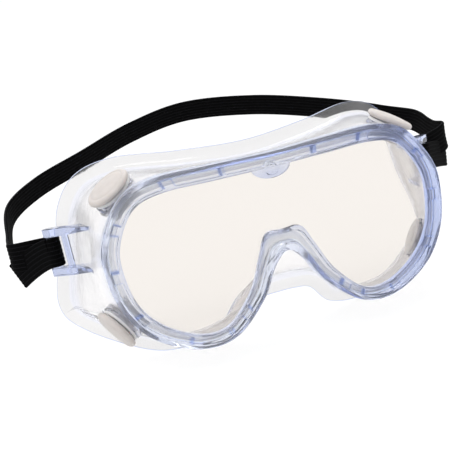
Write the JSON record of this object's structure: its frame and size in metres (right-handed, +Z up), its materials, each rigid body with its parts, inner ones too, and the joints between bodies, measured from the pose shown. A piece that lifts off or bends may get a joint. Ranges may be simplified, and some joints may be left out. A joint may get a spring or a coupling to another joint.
{
  "type": "safety goggles",
  "caption": "Clear splash goggles for class or lab: soft flanged frame, one-piece curved lens, round indirect vents with turning caps, elastic head strap through side lugs.",
  "frame": {"origin": "centre of the face opening, in the plane of the rearmost points of the face flange (the temples), on the left-right centre line and level with the middle of the lens's wide part", "axes": "+X to the wearer's left (the goggles are longest along X), +Y from the lens back through the face opening towards the head, +Z up; the lens faces -Y"},
  "size_m": [0.2234, 0.1454, 0.1066],
  "materials": {
    "clear_pvc": "soft clear PVC moulding, glossy, faintly blue where it is thick and milky over the skirt",
    "lens": "clear polycarbonate sheet, polished, very faintly warm",
    "vent_cap": "moulded beige-grey polypropylene, satin",
    "vent_insert": "moulded light grey polypropylene, satin",
    "elastic": "woven black elastic webbing with fine ribs along its length"
  },
  "bodies": {
    "frame": {"goggle_frame": "clear_pvc", "lens": "lens", "vent_insert_upper_left": "vent_insert", "vent_insert_upper_right": "vent_insert", "vent_insert_lower_left": "vent_insert", "vent_insert_lower_right": "vent_insert", "strap_end_left": "elastic", "strap_end_right": "elastic"},
    "band": {"head_band": "elastic"},
    "tail_left": {"strap_tail_left": "elastic"},
    "tail_right": {"strap_tail_right": "elastic"},
    "cap_upper_left": {"vent_cap_upper_left": "vent_cap"},
    "cap_upper_right": {"vent_cap_upper_right": "vent_cap"},
    "cap_lower_left": {"vent_cap_lower_left": "vent_cap"},
    "cap_lower_right": {"vent_cap_lower_right": "vent_cap"}
  },
  "joints": [
    {"name": "cap_upper_left_turn", "type": "hinge", "parent": "frame", "child": "cap_upper_left", "pos_m": [0.0644, -0.0497, 0.0306], "axis": [0.5, -0.23, 0.8349], "continuous": true},
    {"name": "cap_upper_right_turn", "type": "hinge", "parent": "frame", "child": "cap_upper_right", "pos_m": [-0.0644, -0.0497, 0.0306], "axis": [-0.5, -0.23, 0.8349], "continuous": true},
    {"name": "cap_lower_left_turn", "type": "hinge", "parent": "frame", "child": "cap_lower_left", "pos_m": [0.0755, -0.0448, -0.0316], "axis": [0.8269, -0.279, -0.4882], "continuous": true},
    {"name": "cap_lower_right_turn", "type": "hinge", "parent": "frame", "child": "cap_lower_right", "pos_m": [-0.0755, -0.0448, -0.0316], "axis": [-0.8269, -0.279, -0.4882], "continuous": true},
    {"name": "head_band_swing", "type": "hinge", "parent": "frame", "child": "band", "pos_m": [0, 0.0051, 0.0044], "axis": [1, 0, 0], "range_deg": [-60, 40]},
    {"name": "strap_tail_left_pull", "type": "slide", "parent": "frame", "child": "tail_left", "axis": [0.7488, 0.6628, 0], "range_m": [0, 0.015]},
    {"name": "strap_tail_right_pull", "type": "slide", "parent": "frame", "child": "tail_right", "axis": [-0.7488, 0.6628, 0], "range_m": [0, 0.015]}
  ]
}
